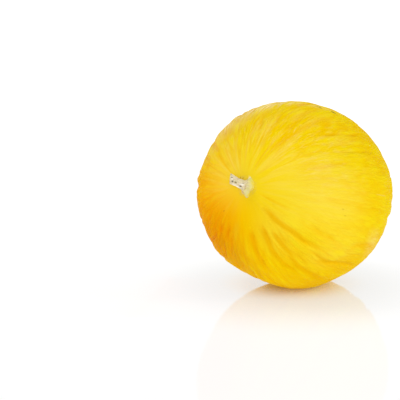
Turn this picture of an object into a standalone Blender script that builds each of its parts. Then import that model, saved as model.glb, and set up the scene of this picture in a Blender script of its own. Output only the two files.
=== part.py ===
"""A whole yellow melon with a wrinkled rind and a short dry stem, lying on its side.

The frame is +Z up with the origin on the surface the melon rests on, under the middle of
the whole. The stem end points along -Y and is lifted a little. The rind is worked out in
the fruit's own frame: +Z from the centre to the stem, +X to the right seen from the stem
end, and the place of a point on it is two angles, polar (from the stem) and around.
"""
import math
import random

import bmesh
import bpy
import numpy as np
from mathutils import Matrix, Vector, noise

MM = 0.001

# The fruit
HALF_LENGTH = 93.75 * MM
RADIUS = 75.0 * MM
STEM_LIFT = math.radians(13.25)
FLAT_DEPTH = 2.0 * MM

# Broad lobes of the cross-section: how many round the fruit, height, turn in degrees
LOBES = (
    (2, 0.17 * MM, -162),
    (3, 0.20 * MM, 46),
    (4, 0.39 * MM, 93),
    (5, 0.18 * MM, -70),
    (6, 0.15 * MM, 8),
    (7, 0.49 * MM, 156),
    (8, 0.32 * MM, 45),
)

# Main folds of the rind: half width and depth in mm, then the places each runs through, in
# degrees polar and around
FOLDS = (
    (2.2, 1.5, (17, -41.5), (25, -43), (32, -42.5), (38, -41.5), (46, -42), (52, -41), (58, -41.5)),
    (1.8, 1.3, (54, -44.5), (60, -45.5), (64, -46.5), (70, -46.5), (74, -44.5),
     (82, -43), (90, -43.5), (97, -45)),
    (1.9, 1.5, (31, -57), (40, -57.5), (48, -58), (53, -60), (58, -61.5),
     (65, -60.5), (70, -60), (92, -62)),
    (1.1, 0.9, (49, -54.5), (55, -55), (60, -56)),
    (1.3, 0.7, (32, -51.5), (42, -53)),
    (1.9, 1.8, (26, -65), (34, -66.5), (40, -68.5), (46, -68.5), (53, -68), (58, -66.5), (62, -66)),
    (1.8, 1.0, (44, -27.5), (50, -29), (54, -30), (60, -29.5), (64, -31)),
    (1.4, 0.8, (74, -29.5), (82, -28), (92, -27), (98, -29), (104, -31.5)),
    (1.3, 0.8, (39, -77.5), (46, -77.5)),
    (1.0, 0.7, (84, -51.5), (92, -54)),
    (1.2, 1.0, (55, 33.5), (61, 31.8), (66, 31.2), (74, 30.8), (84, 31), (90, 32)),
    (1.6, 0.6, (49, 25.5), (56, 24), (66, 22)),
    (1.0, 0.5, (62, 14.8), (67, 15), (70, 16.5), (74, 17)),
    (1.3, 0.7, (67, -5), (76, -5), (86, -4), (96, -6)),
    (0.9, 0.4, (33, 0.5), (38, 1), (43, 2)),
    (0.9, 0.6, (47, 36.5), (52, 34.5)),
    (1.0, 0.4, (36, 29.5), (42, 27)),
    (1.8, 1.4, (93, 11), (100, 11), (106, 9.5)),
    (1.3, 1.0, (98, -7), (103, -8)),
    (1.4, 1.2, (56, 47.5), (62, 46), (66, 45.3), (72, 44), (76, 43.5), (84, 43)),
    (1.1, 0.8, (50, 54.5), (55, 56)),
    (1.6, 0.5, (60, 55.5), (66, 54.5), (72, 54)),
    (1.3, 0.9, (43, 67.5), (47, 68), (50, 68), (56, 68.5)),
    (1.3, 0.6, (31, 63), (34, 63), (39, 65.5)),
    (2.0, 0.8, (35, 82.5), (39, 83.5), (43, 85)),
    (1.2, 0.7, (45, 81.5), (48, 83), (51, 85)),
    (1.2, 0.8, (37, 76), (44, 77)),
    (1.8, 0.6, (26, 84), (34, 84.5)),
    (2.0, 0.8, (38, 93), (42, 94), (45, 96)),
    (1.3, 0.8, (54, 89), (58, 91), (64, 93)),
    (2.4, 1.5, (65, 87), (68, 88), (74, 88)),
    (1.4, 0.9, (70, 82), (78, 81)),
    (1.8, 0.5, (65, 61), (69, 61.5)),
    (1.5, 1.2, (85, 50.5), (92, 50.5)),
    (1.5, 1.2, (93, 48.5), (98, 48.5)),
    (1.2, 0.6, (54, 65.5), (58, 64.5), (62, 65)),
    (1.6, 1.0, (34, 141.5), (38, 142.5), (42, 144.5), (48, 146), (54, 147)),
    (1.4, 0.9, (43, 130), (47, 131), (52, 132)),
    (1.3, 0.7, (40, 125), (46, 126), (51, 127)),
    (1.2, 0.6, (37, 107), (42, 109)),
    (1.0, 0.6, (34, 114.5), (41, 116), (45, 116.5)),
    (1.2, 0.8, (50, 118.5), (54, 120)),
    (1.3, 0.9, (52, 121), (58, 124)),
    (2.2, 1.3, (48, 108.5), (54, 108.5), (59, 110), (64, 111)),
    (1.3, 0.8, (50, 103.5), (57, 104.5)),
    (1.4, 1.0, (60, 99.5), (66, 100.5), (71, 102)),
    (1.4, 0.8, (39, 158), (45, 158.5), (54, 159)),
    (1.3, 0.7, (35, 163), (40, 164)),
    (2.2, 1.8, (27, -82), (33, -83), (40, -84), (46, -84), (55, -83.5)),
    (1.0, 0.7, (44, -80.5), (50, -83)),
    (1.4, 1.1, (33, -110), (36, -111), (42, -111), (50, -113.5)),
    (2.0, 1.6, (28, -115), (32, -117), (38, -117)),
    (1.5, 1.6, (46, -119), (54, -119.5), (60, -122.5)),
    (2.2, 1.6, (30, -126), (38, -126.5)),
    (1.8, 1.6, (40, -131), (48, -132), (58, -136)),
    (1.1, 0.9, (53, -102), (60, -106)),
    (1.1, 0.9, (60, -97), (67, -101)),
    (1.3, 1.1, (58, -92), (70, -94)),
    (1.6, 1.6, (61, -110.5), (68, -112)),
)
FOLD_FADE = math.radians(3.5)
FOLD_LIP = 0.45
FOLD_HEIGHT = 0.75 * MM
# How unevenly the folds are pressed in: patches round the fruit, how drawn out, how much
FOLD_PATCHES = (12, 6.0, 0.5)

# Folds drawn by rule over the rest of the rind
HAND_PLACED_SIDE = np.array((0.47, 0.0, 0.88))
HAND_PLACED_REACH = 0.22
DRAWN_FOLDS = 90
DRAWN_SEED = 7

# Wrinkles everywhere: how many round the fruit, how drawn out they are, their height
WRINKLES = (
    (15, 0.6, 1.1 * MM),
    (34, 1.3, 0.7 * MM),
    (84, 4.5, 0.6 * MM),
)
WRINKLE_SOFTNESS = 0.06
WRINKLE_DRIFT = math.radians(5.0)
WRINKLE_PATCHES = (5, 2.2, 0.5)
# Sides where the rind is drawn smooth, in degrees: the middle (polar, around), how far the
# smooth skin reaches and where it has ended, and the share of the wrinkles left there
SMOOTH_SIDES = (
    (52, -3, 22, 48, 0.3),
    (48, -92, 18, 42, 0.55),
)

# The stem end and the blossom end
SEAT_SHIFT = 1.8 * MM
SEAT_HALF_WIDTH = 7.4 * MM
SEAT_HALF_HEIGHT = 10.4 * MM
SEAT_DEPTH = 1.0 * MM
SEAT_EASE = 0.7
STEM_DIMPLE = (1.2 * MM, 15.0 * MM)
BLOSSOM_DIMPLE = (1.6 * MM, 9.0 * MM)
BLOSSOM_RING = (0.8 * MM, 12.0 * MM, 3.0 * MM)
STEM_CALM = (math.radians(9.0), math.radians(34.0))
FOLD_CALM = (math.radians(7.0), math.radians(18.0))
BLOSSOM_CALM = (math.radians(7.0), math.radians(24.0))
FLAT_CALM = (15.0 * MM, 36.0 * MM)

# The mesh of the fruit
SEGMENTS = 160
RINGS = 36
POLE_CROWDING = 0.2

# The dry stem, in the fruit's own frame with its foot at height 0
FOOT_GAP = 0.3 * MM
STEM_SIDES = 40
STEM_SLICES = 14
STEM_PATH = (
    (SEAT_SHIFT, 0.0, 0.0),
    (SEAT_SHIFT, 0.0, 4.6 * MM),
    (-3.0 * MM, 2.2 * MM, 8.2 * MM),
    (-8.2 * MM, 4.6 * MM, 10.3 * MM),
)
# Half width and half height of the stem at a share of its length
STEM_SECTIONS = (
    (0.0, 5.0 * MM, 6.5 * MM),
    (0.07, 4.6 * MM, 6.0 * MM),
    (0.22, 3.7 * MM, 4.6 * MM),
    (0.42, 3.0 * MM, 3.4 * MM),
    (0.70, 2.8 * MM, 3.1 * MM),
    (1.0, 3.1 * MM, 3.5 * MM),
)
# Spurs of the foot: turn round the stem in degrees, and how far they reach out
SPURS = ((80, 0.34), (28, 0.36), (-84, 0.29), (-122, 0.24), (-150, 0.18), (155, 0.16))
SPUR_WIDTH = math.radians(24.0)
SPUR_FADE = 0.45
STEM_RIBS = 5
STEM_RIB_HEIGHT = 0.09
# The knife went through at a slant: how much further the upper side reaches, and from where
END_SLANT = 0.45
END_SLANT_START = 0.6
PITH_RIM = 1.3 * MM
PITH_DEPTH = 0.8 * MM

RIND_COLOUR = (0.91, 0.60, 0.02, 1.0)
STEM_COLOUR = (0.62, 0.55, 0.30, 1.0)


def smoothstep(low, high, value):
    """Rise smoothly from 0 at low to 1 at high."""
    share = np.clip((value - low) / (high - low), 0.0, 1.0)
    return share * share * (3.0 - 2.0 * share)


def wrapped(angle):
    """The same angle between -pi and pi."""
    return (angle + math.pi) % (2.0 * math.pi) - math.pi


def drawn_out_noise(polar, around, count, stretch):
    """Noise with count bumps round the fruit, each drawn out from stem to blossom end."""
    ring = count / (2.0 * math.pi)
    places = zip(ring * np.cos(around), ring * np.sin(around), stretch * polar)
    return np.array([noise.noise(Vector(place)) for place in places])


def lobe_height(around):
    """Height of the broad lobes of the cross-section."""
    return sum(height * np.cos(count * around - math.radians(turn)) for count, height, turn in LOBES)


def direction(polar, around):
    """Unit vectors from the centre towards places given by their two angles."""
    outwards = np.sin(polar)
    return np.stack([outwards * np.cos(around), outwards * np.sin(around), np.cos(polar)], axis=-1)


def patches(polar, around, setting):
    """A factor round 1 that varies in slow patches over the rind."""
    count, stretch, contrast = setting
    return 1.0 + contrast * drawn_out_noise(polar, around, count, stretch)


def wrinkle_height(polar, around):
    """Rounded wrinkles with creases between them, meandering from end to end."""
    drift = WRINKLE_DRIFT * drawn_out_noise(polar, around, 9, 1.6)
    total = np.zeros_like(polar)
    for count, stretch, height in WRINKLES:
        wave = drawn_out_noise(polar, around + drift, count, stretch)
        total += height * (np.sqrt(wave * wave + WRINKLE_SOFTNESS**2) - 0.3)
    return wrinkle_strength(polar, around) * total


def wrinkle_strength(polar, around):
    """How strong the wrinkles are: uneven, weak on the smooth sides, nothing at the stem."""
    strength = patches(polar, around, WRINKLE_PATCHES) * smoothstep(*STEM_CALM, polar)
    for *angles, rest in SMOOTH_SIDES:
        middle_polar, middle_around, near, far = np.radians(angles)
        facing = direction(polar, around) @ direction(middle_polar, middle_around)
        from_middle = np.arccos(np.clip(facing, -1.0, 1.0))
        strength *= rest + (1.0 - rest) * smoothstep(near, far, from_middle)
    return strength


def fold_height(polar, around, fold):
    """A crease between two lips that fades out at both of its ends."""
    half_width, depth, *places = fold
    polars, arounds = (np.radians(angles) for angles in zip(*places))
    line = np.interp(polar, polars, arounds)
    across = RADIUS * np.sin(polar) * wrapped(around - line) / (half_width * MM)
    start = smoothstep(polars[0] - FOLD_FADE, polars[0] + FOLD_FADE, polar)
    end = smoothstep(polars[-1] - FOLD_FADE, polars[-1] + FOLD_FADE, polar)
    reach = depth * start * (1.0 - end)
    return -FOLD_HEIGHT * reach * (1.0 - FOLD_LIP * across * across) * np.exp(-0.5 * across * across)


def drawn_folds():
    """Folds placed by rule where none is placed by hand."""
    rng = random.Random(DRAWN_SEED)
    folds = []
    for _ in range(DRAWN_FOLDS):
        middle = rng.uniform(32, 142)
        around = rng.uniform(-180, 180)
        half_length = rng.uniform(7, 20)
        slant = rng.uniform(-3, 3)
        bend = rng.uniform(-1.5, 1.5)
        half_width = rng.uniform(1.5, 2.5)
        depth = rng.uniform(0.6, 1.5)
        facing = direction(math.radians(middle), math.radians(around)) @ HAND_PLACED_SIDE
        if facing < HAND_PLACED_REACH:
            start = (middle - half_length, around - slant)
            end = (middle + half_length, around + slant)
            folds.append((half_width, depth, start, (middle, around + bend), end))
    return folds


def resting_point():
    """The lowest point of the plain fruit, in its own frame."""
    sunk = math.hypot(RADIUS * math.cos(STEM_LIFT), HALF_LENGTH * math.sin(STEM_LIFT))
    return np.array((0.0, -RADIUS**2 * math.cos(STEM_LIFT), -HALF_LENGTH**2 * math.sin(STEM_LIFT))) / sunk


def skin_points(polar, around):
    """Points of the rind, in the fruit's own frame, for arrays of the two angles."""
    unit = direction(polar, around)
    size = np.array((RADIUS, RADIUS, HALF_LENGTH))
    plain = unit * size
    normal = unit / size
    normal /= np.linalg.norm(normal, axis=1, keepdims=True)

    firmness = patches(polar, around, FOLD_PATCHES) * smoothstep(*FOLD_CALM, polar)
    height = wrinkle_height(polar, around)
    for fold in FOLDS + tuple(drawn_folds()):
        height += firmness * fold_height(polar, around, fold)
    height *= smoothstep(*BLOSSOM_CALM, math.pi - polar)
    height *= smoothstep(*FLAT_CALM, np.linalg.norm(plain - resting_point(), axis=1))
    height += lobe_height(around) * np.sin(polar) ** 1.5
    points = plain + normal * height[:, None]
    points[:, 2] += end_height(points)
    return points


def end_height(points):
    """Lift along the fruit's axis that shapes the stem end and the blossom scar."""
    x, y, z = points.T
    off_axis = np.hypot(x, y)
    stem_side = z > 0.0

    depth, reach = STEM_DIMPLE
    stem_lift = -depth * np.exp(-(off_axis / reach) ** 2)
    from_seat = np.hypot((x - SEAT_SHIFT) / SEAT_HALF_WIDTH, y / SEAT_HALF_HEIGHT)
    open_skin = smoothstep(1.0, 1.0 + SEAT_EASE, from_seat)
    stem_lift = open_skin * stem_lift + (1.0 - open_skin) * (seat_level() - z)

    depth, reach = BLOSSOM_DIMPLE
    ring_height, ring_radius, ring_width = BLOSSOM_RING
    blossom_lift = depth * np.exp(-(off_axis / reach) ** 2)
    blossom_lift -= ring_height * np.exp(-((off_axis - ring_radius) / ring_width) ** 2)
    return np.where(stem_side, stem_lift, blossom_lift)


def seat_level():
    """Height of the flat seat of the stem over the fruit's centre."""
    return HALF_LENGTH - STEM_DIMPLE[0] - SEAT_DEPTH


def fruit_turn():
    """Rotation from the fruit's own frame to the frame of the part."""
    return Matrix.Rotation(math.pi / 2.0 - STEM_LIFT, 4, "X")


def make_material(name, colour, roughness):
    """A plain non-metallic material."""
    material = bpy.data.materials.new(name)
    material.use_nodes = True
    shader = material.node_tree.nodes["Principled BSDF"]
    shader.inputs["Base Color"].default_value = colour
    shader.inputs["Roughness"].default_value = roughness
    shader.inputs["Metallic"].default_value = 0.0
    return material


def make_object(name, bm, material, collection):
    """Turn a bmesh into a smooth-shaded object of the part."""
    mesh = bpy.data.meshes.new(name)
    bm.to_mesh(mesh)
    bm.free()
    mesh.materials.append(material)
    mesh.shade_smooth()
    thing = bpy.data.objects.new(name, mesh)
    collection.objects.link(thing)
    return thing


def cut_flat_spot(bm):
    """Cut the underside level, and close the cut with one flat face."""
    level = min(vert.co.z for vert in bm.verts) + FLAT_DEPTH
    everything = bm.verts[:] + bm.edges[:] + bm.faces[:]
    bmesh.ops.bisect_plane(bm, geom=everything, dist=0.05 * MM, plane_co=(0.0, 0.0, level),
                           plane_no=(0.0, 0.0, 1.0), clear_inner=True)
    rim = [edge for edge in bm.edges if edge.is_boundary]
    for edge in rim:
        for vert in edge.verts:
            vert.co.z = level
    bmesh.ops.edgeloop_fill(bm, edges=rim)


def build_fruit(collection):
    """The fruit: a sphere whose every vertex is carried to its place on the wrinkled rind."""
    bm = bmesh.new()
    bmesh.ops.create_uvsphere(bm, u_segments=SEGMENTS, v_segments=RINGS, radius=1.0)
    unit = np.array([vert.co for vert in bm.verts])
    polar = np.arccos(np.clip(unit[:, 2], -1.0, 1.0))
    around = np.arctan2(unit[:, 1], unit[:, 0])
    polar = polar - POLE_CROWDING * np.sin(2.0 * polar)
    for vert, point in zip(bm.verts, skin_points(polar, around)):
        vert.co = point
    bmesh.ops.transform(bm, matrix=fruit_turn(), verts=bm.verts)
    cut_flat_spot(bm)
    bmesh.ops.recalc_face_normals(bm, faces=bm.faces)
    return make_object("melon_fruit", bm, make_material("rind", RIND_COLOUR, 0.42), collection)


def stem_section(share):
    """Half width and half height of the stem at a share of its length."""
    shares, widths, heights = zip(*STEM_SECTIONS)
    return float(np.interp(share, shares, widths)), float(np.interp(share, shares, heights))


def stem_path(share):
    """Point and direction of the stem's bent middle line at a share of its length."""
    a, b, c, d = (Vector(point) for point in STEM_PATH)
    rest = 1.0 - share
    point = rest**3 * a + 3.0 * rest**2 * share * b + 3.0 * rest * share**2 * c + share**3 * d
    heading = rest**2 * (b - a) + 2.0 * rest * share * (c - b) + share**2 * (d - c)
    return point, heading.normalized()


def stem_swell(share, turn):
    """How far the ribs and the spurs of the foot stand out, as a share of the thickness."""
    spurs = sum(reach * math.exp(-(wrapped(turn - math.radians(at)) / SPUR_WIDTH) ** 2)
                for at, reach in SPURS)
    fade = max(0.0, 1.0 - share / SPUR_FADE) ** 2
    return fade * spurs + STEM_RIB_HEIGHT * math.cos(STEM_RIBS * turn + 0.6)


def stem_point(share, turn):
    """Point of the stem's side at a share of its length and a turn round it."""
    middle, heading = stem_path(share)
    wide = Vector((0.0, 1.0, 0.0)).cross(heading).normalized()
    high = heading.cross(wide)
    half_width, half_height = stem_section(share)
    swell = 1.0 + stem_swell(share, turn)
    sideways = swell * half_width * math.cos(turn)
    upwards = swell * half_height * math.sin(turn)
    forwards = END_SLANT * float(smoothstep(END_SLANT_START, 1.0, share)) * upwards
    return middle + sideways * wide + upwards * high + forwards * heading


def build_stem(collection):
    """The stem stub: a sliced cylinder carried along a bend, spurred at its foot, ribbed, cut off."""
    bm = bmesh.new()
    bmesh.ops.create_cone(bm, cap_ends=True, segments=STEM_SIDES, radius1=1.0, radius2=1.0, depth=1.0)
    rises = [edge for edge in bm.edges if abs(edge.verts[0].co.z - edge.verts[1].co.z) > 0.5]
    bmesh.ops.subdivide_edges(bm, edges=rises, cuts=STEM_SLICES - 1)
    for vert in bm.verts:
        vert.co = stem_point(vert.co.z + 0.5, math.atan2(vert.co.y, vert.co.x))
    cut_end = max((face for face in bm.faces if len(face.verts) == STEM_SIDES),
                  key=lambda face: face.calc_center_median().z)
    bmesh.ops.inset_individual(bm, faces=[cut_end], thickness=PITH_RIM, depth=-PITH_DEPTH)
    bmesh.ops.translate(bm, vec=(0.0, 0.0, seat_level() + FOOT_GAP), verts=bm.verts)
    bmesh.ops.transform(bm, matrix=fruit_turn(), verts=bm.verts)
    bmesh.ops.recalc_face_normals(bm, faces=bm.faces)
    return make_object("stem_stub", bm, make_material("dry_stem", STEM_COLOUR, 0.8), collection)


def set_down(things):
    """Move the whole so that the origin lies under its middle, at the height of the flat spot."""
    corners = np.array([vert.co for thing in things for vert in thing.data.vertices])
    low, high = corners.min(axis=0), corners.max(axis=0)
    shift = Vector((-(low[0] + high[0]) / 2.0, -(low[1] + high[1]) / 2.0, -low[2]))
    for thing in things:
        thing.data.transform(Matrix.Translation(shift))


def main():
    for thing in list(bpy.data.objects):
        bpy.data.objects.remove(thing, do_unlink=True)
    collection = bpy.data.collections.new("melon")
    bpy.context.scene.collection.children.link(collection)
    set_down([build_fruit(collection), build_stem(collection)])


main()
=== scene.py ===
# %% [markdown]
# # A yellow melon with a wrinkled rind
#
# The CAD model holds the whole fruit and its short dry stem as two plain solids. They say
# where everything is and how large it is. This script dresses them. It starts by loading
# them, and keeps their box, because the dressed melon may not grow out of it.

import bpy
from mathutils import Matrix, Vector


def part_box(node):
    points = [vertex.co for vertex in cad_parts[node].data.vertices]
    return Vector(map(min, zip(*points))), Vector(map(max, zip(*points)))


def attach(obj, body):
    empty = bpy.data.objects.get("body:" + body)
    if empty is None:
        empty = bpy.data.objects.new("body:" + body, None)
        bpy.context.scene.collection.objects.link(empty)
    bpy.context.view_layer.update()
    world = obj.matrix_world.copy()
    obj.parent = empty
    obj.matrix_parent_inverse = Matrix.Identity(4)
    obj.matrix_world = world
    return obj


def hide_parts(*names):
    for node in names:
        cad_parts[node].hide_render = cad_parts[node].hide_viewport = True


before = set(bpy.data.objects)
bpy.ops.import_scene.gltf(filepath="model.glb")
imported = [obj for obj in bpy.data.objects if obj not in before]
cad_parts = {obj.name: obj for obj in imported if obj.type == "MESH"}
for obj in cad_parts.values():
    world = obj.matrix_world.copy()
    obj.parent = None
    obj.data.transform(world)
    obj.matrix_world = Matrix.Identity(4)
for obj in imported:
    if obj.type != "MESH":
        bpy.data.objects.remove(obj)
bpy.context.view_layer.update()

# %% Modules and the unit
import math
import random

import bmesh
import bpy
import numpy as np
from mathutils import Matrix, Vector, noise

MM = 0.001

# %% [markdown]
# ## The plain fruit
#
# The fruit is a little longer than it is wide, and it lies with its stem end lifted. It is
# easiest to describe standing on end, in a frame of its own: +Z runs from the centre to the
# stem, and a place on the rind is two angles, polar (away from the stem) and around. One
# rotation then lays it down. These numbers repeat those of the CAD model.

# %% Size and pose of the fruit
HALF_LENGTH = 93.75 * MM
RADIUS = 75.0 * MM
STEM_LIFT = math.radians(13.25)
FRUIT_TURN = Matrix.Rotation(math.pi / 2.0 - STEM_LIFT, 4, "X")

# Broad lobes of the cross-section: how many round the fruit, height, turn in degrees
LOBES = (
    (2, 0.17 * MM, -162),
    (3, 0.20 * MM, 46),
    (4, 0.39 * MM, 93),
    (5, 0.18 * MM, -70),
    (6, 0.15 * MM, 8),
    (7, 0.49 * MM, 156),
    (8, 0.32 * MM, 45),
)


def lobe_height(around):
    """Height of the broad lobes of the cross-section."""
    return sum(height * np.cos(count * around - math.radians(turn)) for count, height, turn in LOBES)


print("Fruit in mm:", round(2000 * HALF_LENGTH, 1), "long,", round(2000 * RADIUS, 1), "across")

# %% [markdown]
# ## Wrinkles
#
# The rind of such a melon is thrown into low rounded wrinkles that run from the stem to the
# blossom end, with sharper creases between them. Noise on a cylinder gives them: the more
# slowly its third axis runs, the longer the wrinkles. Its absolute value has a crease
# wherever the noise crosses zero and a soft dome in between, as the rind has. A slower
# noise makes the wrinkles meander.

# %% Wrinkles from noise
# How many round the fruit, how drawn out they are, their height, how much painted shade and highlight
# follows them
WRINKLES = (
    (15, 0.6, 1.1 * MM, 0.6),
    (34, 1.3, 0.7 * MM, 1.1),
    (84, 4.5, 0.6 * MM, 1.8),
)
# How rounded the bottom of a crease is: 0 would be a sharp line
WRINKLE_SOFTNESS = 0.06
# Taken off every wave, so that wrinkles rise and sink about equally from the plain fruit
WRINKLE_MIDDLE = 0.3
# How far wrinkles meander, then how many bends round the fruit and how drawn out those are
WRINKLE_DRIFT = math.radians(5.0)
DRIFT_NOISE = (9, 1.6)
# Stronger and weaker patches: how many round the fruit, how drawn out, how much
WRINKLE_PATCHES = (5, 2.2, 0.5)
# Sides where the rind is drawn smooth, in degrees: the middle (polar, around), how far the
# smooth skin reaches and where it has ended, and the share of the wrinkles left there
SMOOTH_SIDES = (
    (52, -3, 22, 48, 0.3),
    (48, -92, 18, 42, 0.55),
)


def smoothstep(low, high, value):
    """Rise smoothly from 0 at low to 1 at high."""
    share = np.clip((value - low) / (high - low), 0.0, 1.0)
    return share * share * (3.0 - 2.0 * share)


def wrapped(angle):
    """The same angle between -pi and pi."""
    return (angle + math.pi) % (2.0 * math.pi) - math.pi


def drawn_out_noise(polar, around, count, stretch):
    """Noise with count bumps round the fruit, each drawn out from stem to blossom end."""
    ring = count / (2.0 * math.pi)
    places = zip(ring * np.cos(around), ring * np.sin(around), stretch * polar)
    return np.array([noise.noise(Vector(place)) for place in places])


def direction(polar, around):
    """Unit vectors from the centre towards places given by their two angles."""
    outwards = np.sin(polar)
    return np.stack([outwards * np.cos(around), outwards * np.sin(around), np.cos(polar)], axis=-1)


def wrinkle_relief(polar, around):
    """Rounded wrinkles that meander from end to end: their height, and the painted shade and highlight that
    follow them.
    """
    drift = WRINKLE_DRIFT * drawn_out_noise(polar, around, *DRIFT_NOISE)
    count, stretch, contrast = WRINKLE_PATCHES
    strength = 1.0 + contrast * drawn_out_noise(polar, around, count, stretch)
    for *angles, rest in SMOOTH_SIDES:
        middle_polar, middle_around, near, far = np.radians(angles)
        facing = direction(polar, around) @ direction(middle_polar, middle_around)
        from_middle = np.arccos(np.clip(facing, -1.0, 1.0))
        strength *= rest + (1.0 - rest) * smoothstep(near, far, from_middle)
    total = np.zeros_like(polar)
    tone = np.zeros_like(polar)
    for count, stretch, height, shown in WRINKLES:
        wave = drawn_out_noise(polar, around + drift, count, stretch)
        rise = np.sqrt(wave * wave + WRINKLE_SOFTNESS**2) - WRINKLE_MIDDLE
        total += height * rise
        tone += shown * rise
    return strength * total, strength * tone


print("Wrinkle layers:", len(WRINKLES))

# %% [markdown]
# ## Main folds
#
# The longest and deepest folds of this fruit are placed one by one, because they are what
# the eye knows it by. Each is a crease between two low lips that fades out at both of its
# ends. Over the rest of the rind, folds of the same kind are drawn by rule with a fixed
# seed, so that every run gives the same fruit.

# %% Folds placed one by one
# Half width and depth in mm, then the places it runs through, in degrees polar and around
FOLDS = (
    (2.2, 1.5, (17, -41.5), (25, -43), (32, -42.5), (38, -41.5), (46, -42), (52, -41), (58, -41.5)),
    (1.8, 1.3, (54, -44.5), (60, -45.5), (64, -46.5), (70, -46.5), (74, -44.5),
     (82, -43), (90, -43.5), (97, -45)),
    (1.9, 1.5, (31, -57), (40, -57.5), (48, -58), (53, -60), (58, -61.5),
     (65, -60.5), (70, -60), (92, -62)),
    (1.1, 0.9, (49, -54.5), (55, -55), (60, -56)),
    (1.3, 0.7, (32, -51.5), (42, -53)),
    (1.9, 1.8, (26, -65), (34, -66.5), (40, -68.5), (46, -68.5), (53, -68), (58, -66.5), (62, -66)),
    (1.8, 1.0, (44, -27.5), (50, -29), (54, -30), (60, -29.5), (64, -31)),
    (1.4, 0.8, (74, -29.5), (82, -28), (92, -27), (98, -29), (104, -31.5)),
    (1.3, 0.8, (39, -77.5), (46, -77.5)),
    (1.0, 0.7, (84, -51.5), (92, -54)),
    (1.2, 1.0, (55, 33.5), (61, 31.8), (66, 31.2), (74, 30.8), (84, 31), (90, 32)),
    (1.6, 0.6, (49, 25.5), (56, 24), (66, 22)),
    (1.0, 0.5, (62, 14.8), (67, 15), (70, 16.5), (74, 17)),
    (1.3, 0.7, (67, -5), (76, -5), (86, -4), (96, -6)),
    (0.9, 0.4, (33, 0.5), (38, 1), (43, 2)),
    (0.9, 0.6, (47, 36.5), (52, 34.5)),
    (1.0, 0.4, (36, 29.5), (42, 27)),
    (1.8, 1.4, (93, 11), (100, 11), (106, 9.5)),
    (1.3, 1.0, (98, -7), (103, -8)),
    (1.4, 1.2, (56, 47.5), (62, 46), (66, 45.3), (72, 44), (76, 43.5), (84, 43)),
    (1.1, 0.8, (50, 54.5), (55, 56)),
    (1.6, 0.5, (60, 55.5), (66, 54.5), (72, 54)),
    (1.3, 0.9, (43, 67.5), (47, 68), (50, 68), (56, 68.5)),
    (1.3, 0.6, (31, 63), (34, 63), (39, 65.5)),
    (2.0, 0.8, (35, 82.5), (39, 83.5), (43, 85)),
    (1.2, 0.7, (45, 81.5), (48, 83), (51, 85)),
    (1.2, 0.8, (37, 76), (44, 77)),
    (1.8, 0.6, (26, 84), (34, 84.5)),
    (2.0, 0.8, (38, 93), (42, 94), (45, 96)),
    (1.3, 0.8, (54, 89), (58, 91), (64, 93)),
    (2.4, 1.5, (65, 87), (68, 88), (74, 88)),
    (1.4, 0.9, (70, 82), (78, 81)),
    (1.8, 0.5, (65, 61), (69, 61.5)),
    (1.5, 1.2, (85, 50.5), (92, 50.5)),
    (1.5, 1.2, (93, 48.5), (98, 48.5)),
    (1.2, 0.6, (54, 65.5), (58, 64.5), (62, 65)),
    (1.6, 1.0, (34, 141.5), (38, 142.5), (42, 144.5), (48, 146), (54, 147)),
    (1.4, 0.9, (43, 130), (47, 131), (52, 132)),
    (1.3, 0.7, (40, 125), (46, 126), (51, 127)),
    (1.2, 0.6, (37, 107), (42, 109)),
    (1.0, 0.6, (34, 114.5), (41, 116), (45, 116.5)),
    (1.2, 0.8, (50, 118.5), (54, 120)),
    (1.3, 0.9, (52, 121), (58, 124)),
    (2.2, 1.3, (48, 108.5), (54, 108.5), (59, 110), (64, 111)),
    (1.3, 0.8, (50, 103.5), (57, 104.5)),
    (1.4, 1.0, (60, 99.5), (66, 100.5), (71, 102)),
    (1.4, 0.8, (39, 158), (45, 158.5), (54, 159)),
    (1.3, 0.7, (35, 163), (40, 164)),
    (2.2, 1.8, (27, -82), (33, -83), (40, -84), (46, -84), (55, -83.5)),
    (1.0, 0.7, (44, -80.5), (50, -83)),
    (1.4, 1.1, (33, -110), (36, -111), (42, -111), (50, -113.5)),
    (2.0, 1.6, (28, -115), (32, -117), (38, -117)),
    (1.5, 1.6, (46, -119), (54, -119.5), (60, -122.5)),
    (2.2, 1.6, (30, -126), (38, -126.5)),
    (1.8, 1.6, (40, -131), (48, -132), (58, -136)),
    (1.1, 0.9, (53, -102), (60, -106)),
    (1.1, 0.9, (60, -97), (67, -101)),
    (1.3, 1.1, (58, -92), (70, -94)),
    (1.6, 1.6, (61, -110.5), (68, -112)),
)
FOLD_FADE = math.radians(3.5)
FOLD_LIP = 0.45
FOLD_HEIGHT = 0.75 * MM
# The painted shade in a fold: how much there is of it, and over how long a way it fades out
FOLD_TONE = 0.78
FOLD_TONE_FADE = math.radians(7.0)
# How unevenly the folds are pressed in: patches round the fruit, how drawn out, how much
FOLD_PATCHES = (12, 6.0, 0.5)


def fold_relief(polar, around, fold):
    """A crease between two lips that fades out at both ends: its height, and its painted shade."""
    half_width, depth, *places = fold
    polars, arounds = (np.radians(angles) for angles in zip(*places))
    line = np.interp(polar, polars, arounds)
    across = RADIUS * np.sin(polar) * wrapped(around - line) / (half_width * MM)
    first, last = polars[0], polars[-1]
    start = smoothstep(first - FOLD_FADE, first + FOLD_FADE, polar)
    end = smoothstep(last - FOLD_FADE, last + FOLD_FADE, polar)
    height = -FOLD_HEIGHT * depth * start * (1.0 - end)
    height *= (1.0 - FOLD_LIP * across * across) * np.exp(-0.5 * across * across)
    tone_fade = min(FOLD_TONE_FADE, (last - first) / 2.0)
    start = smoothstep(first - FOLD_FADE, first + tone_fade, polar)
    end = smoothstep(last - tone_fade, last + FOLD_FADE, polar)
    return height, -FOLD_TONE * depth * start * (1.0 - end) * np.exp(-across * across)


print("Folds placed by hand:", len(FOLDS))
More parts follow.
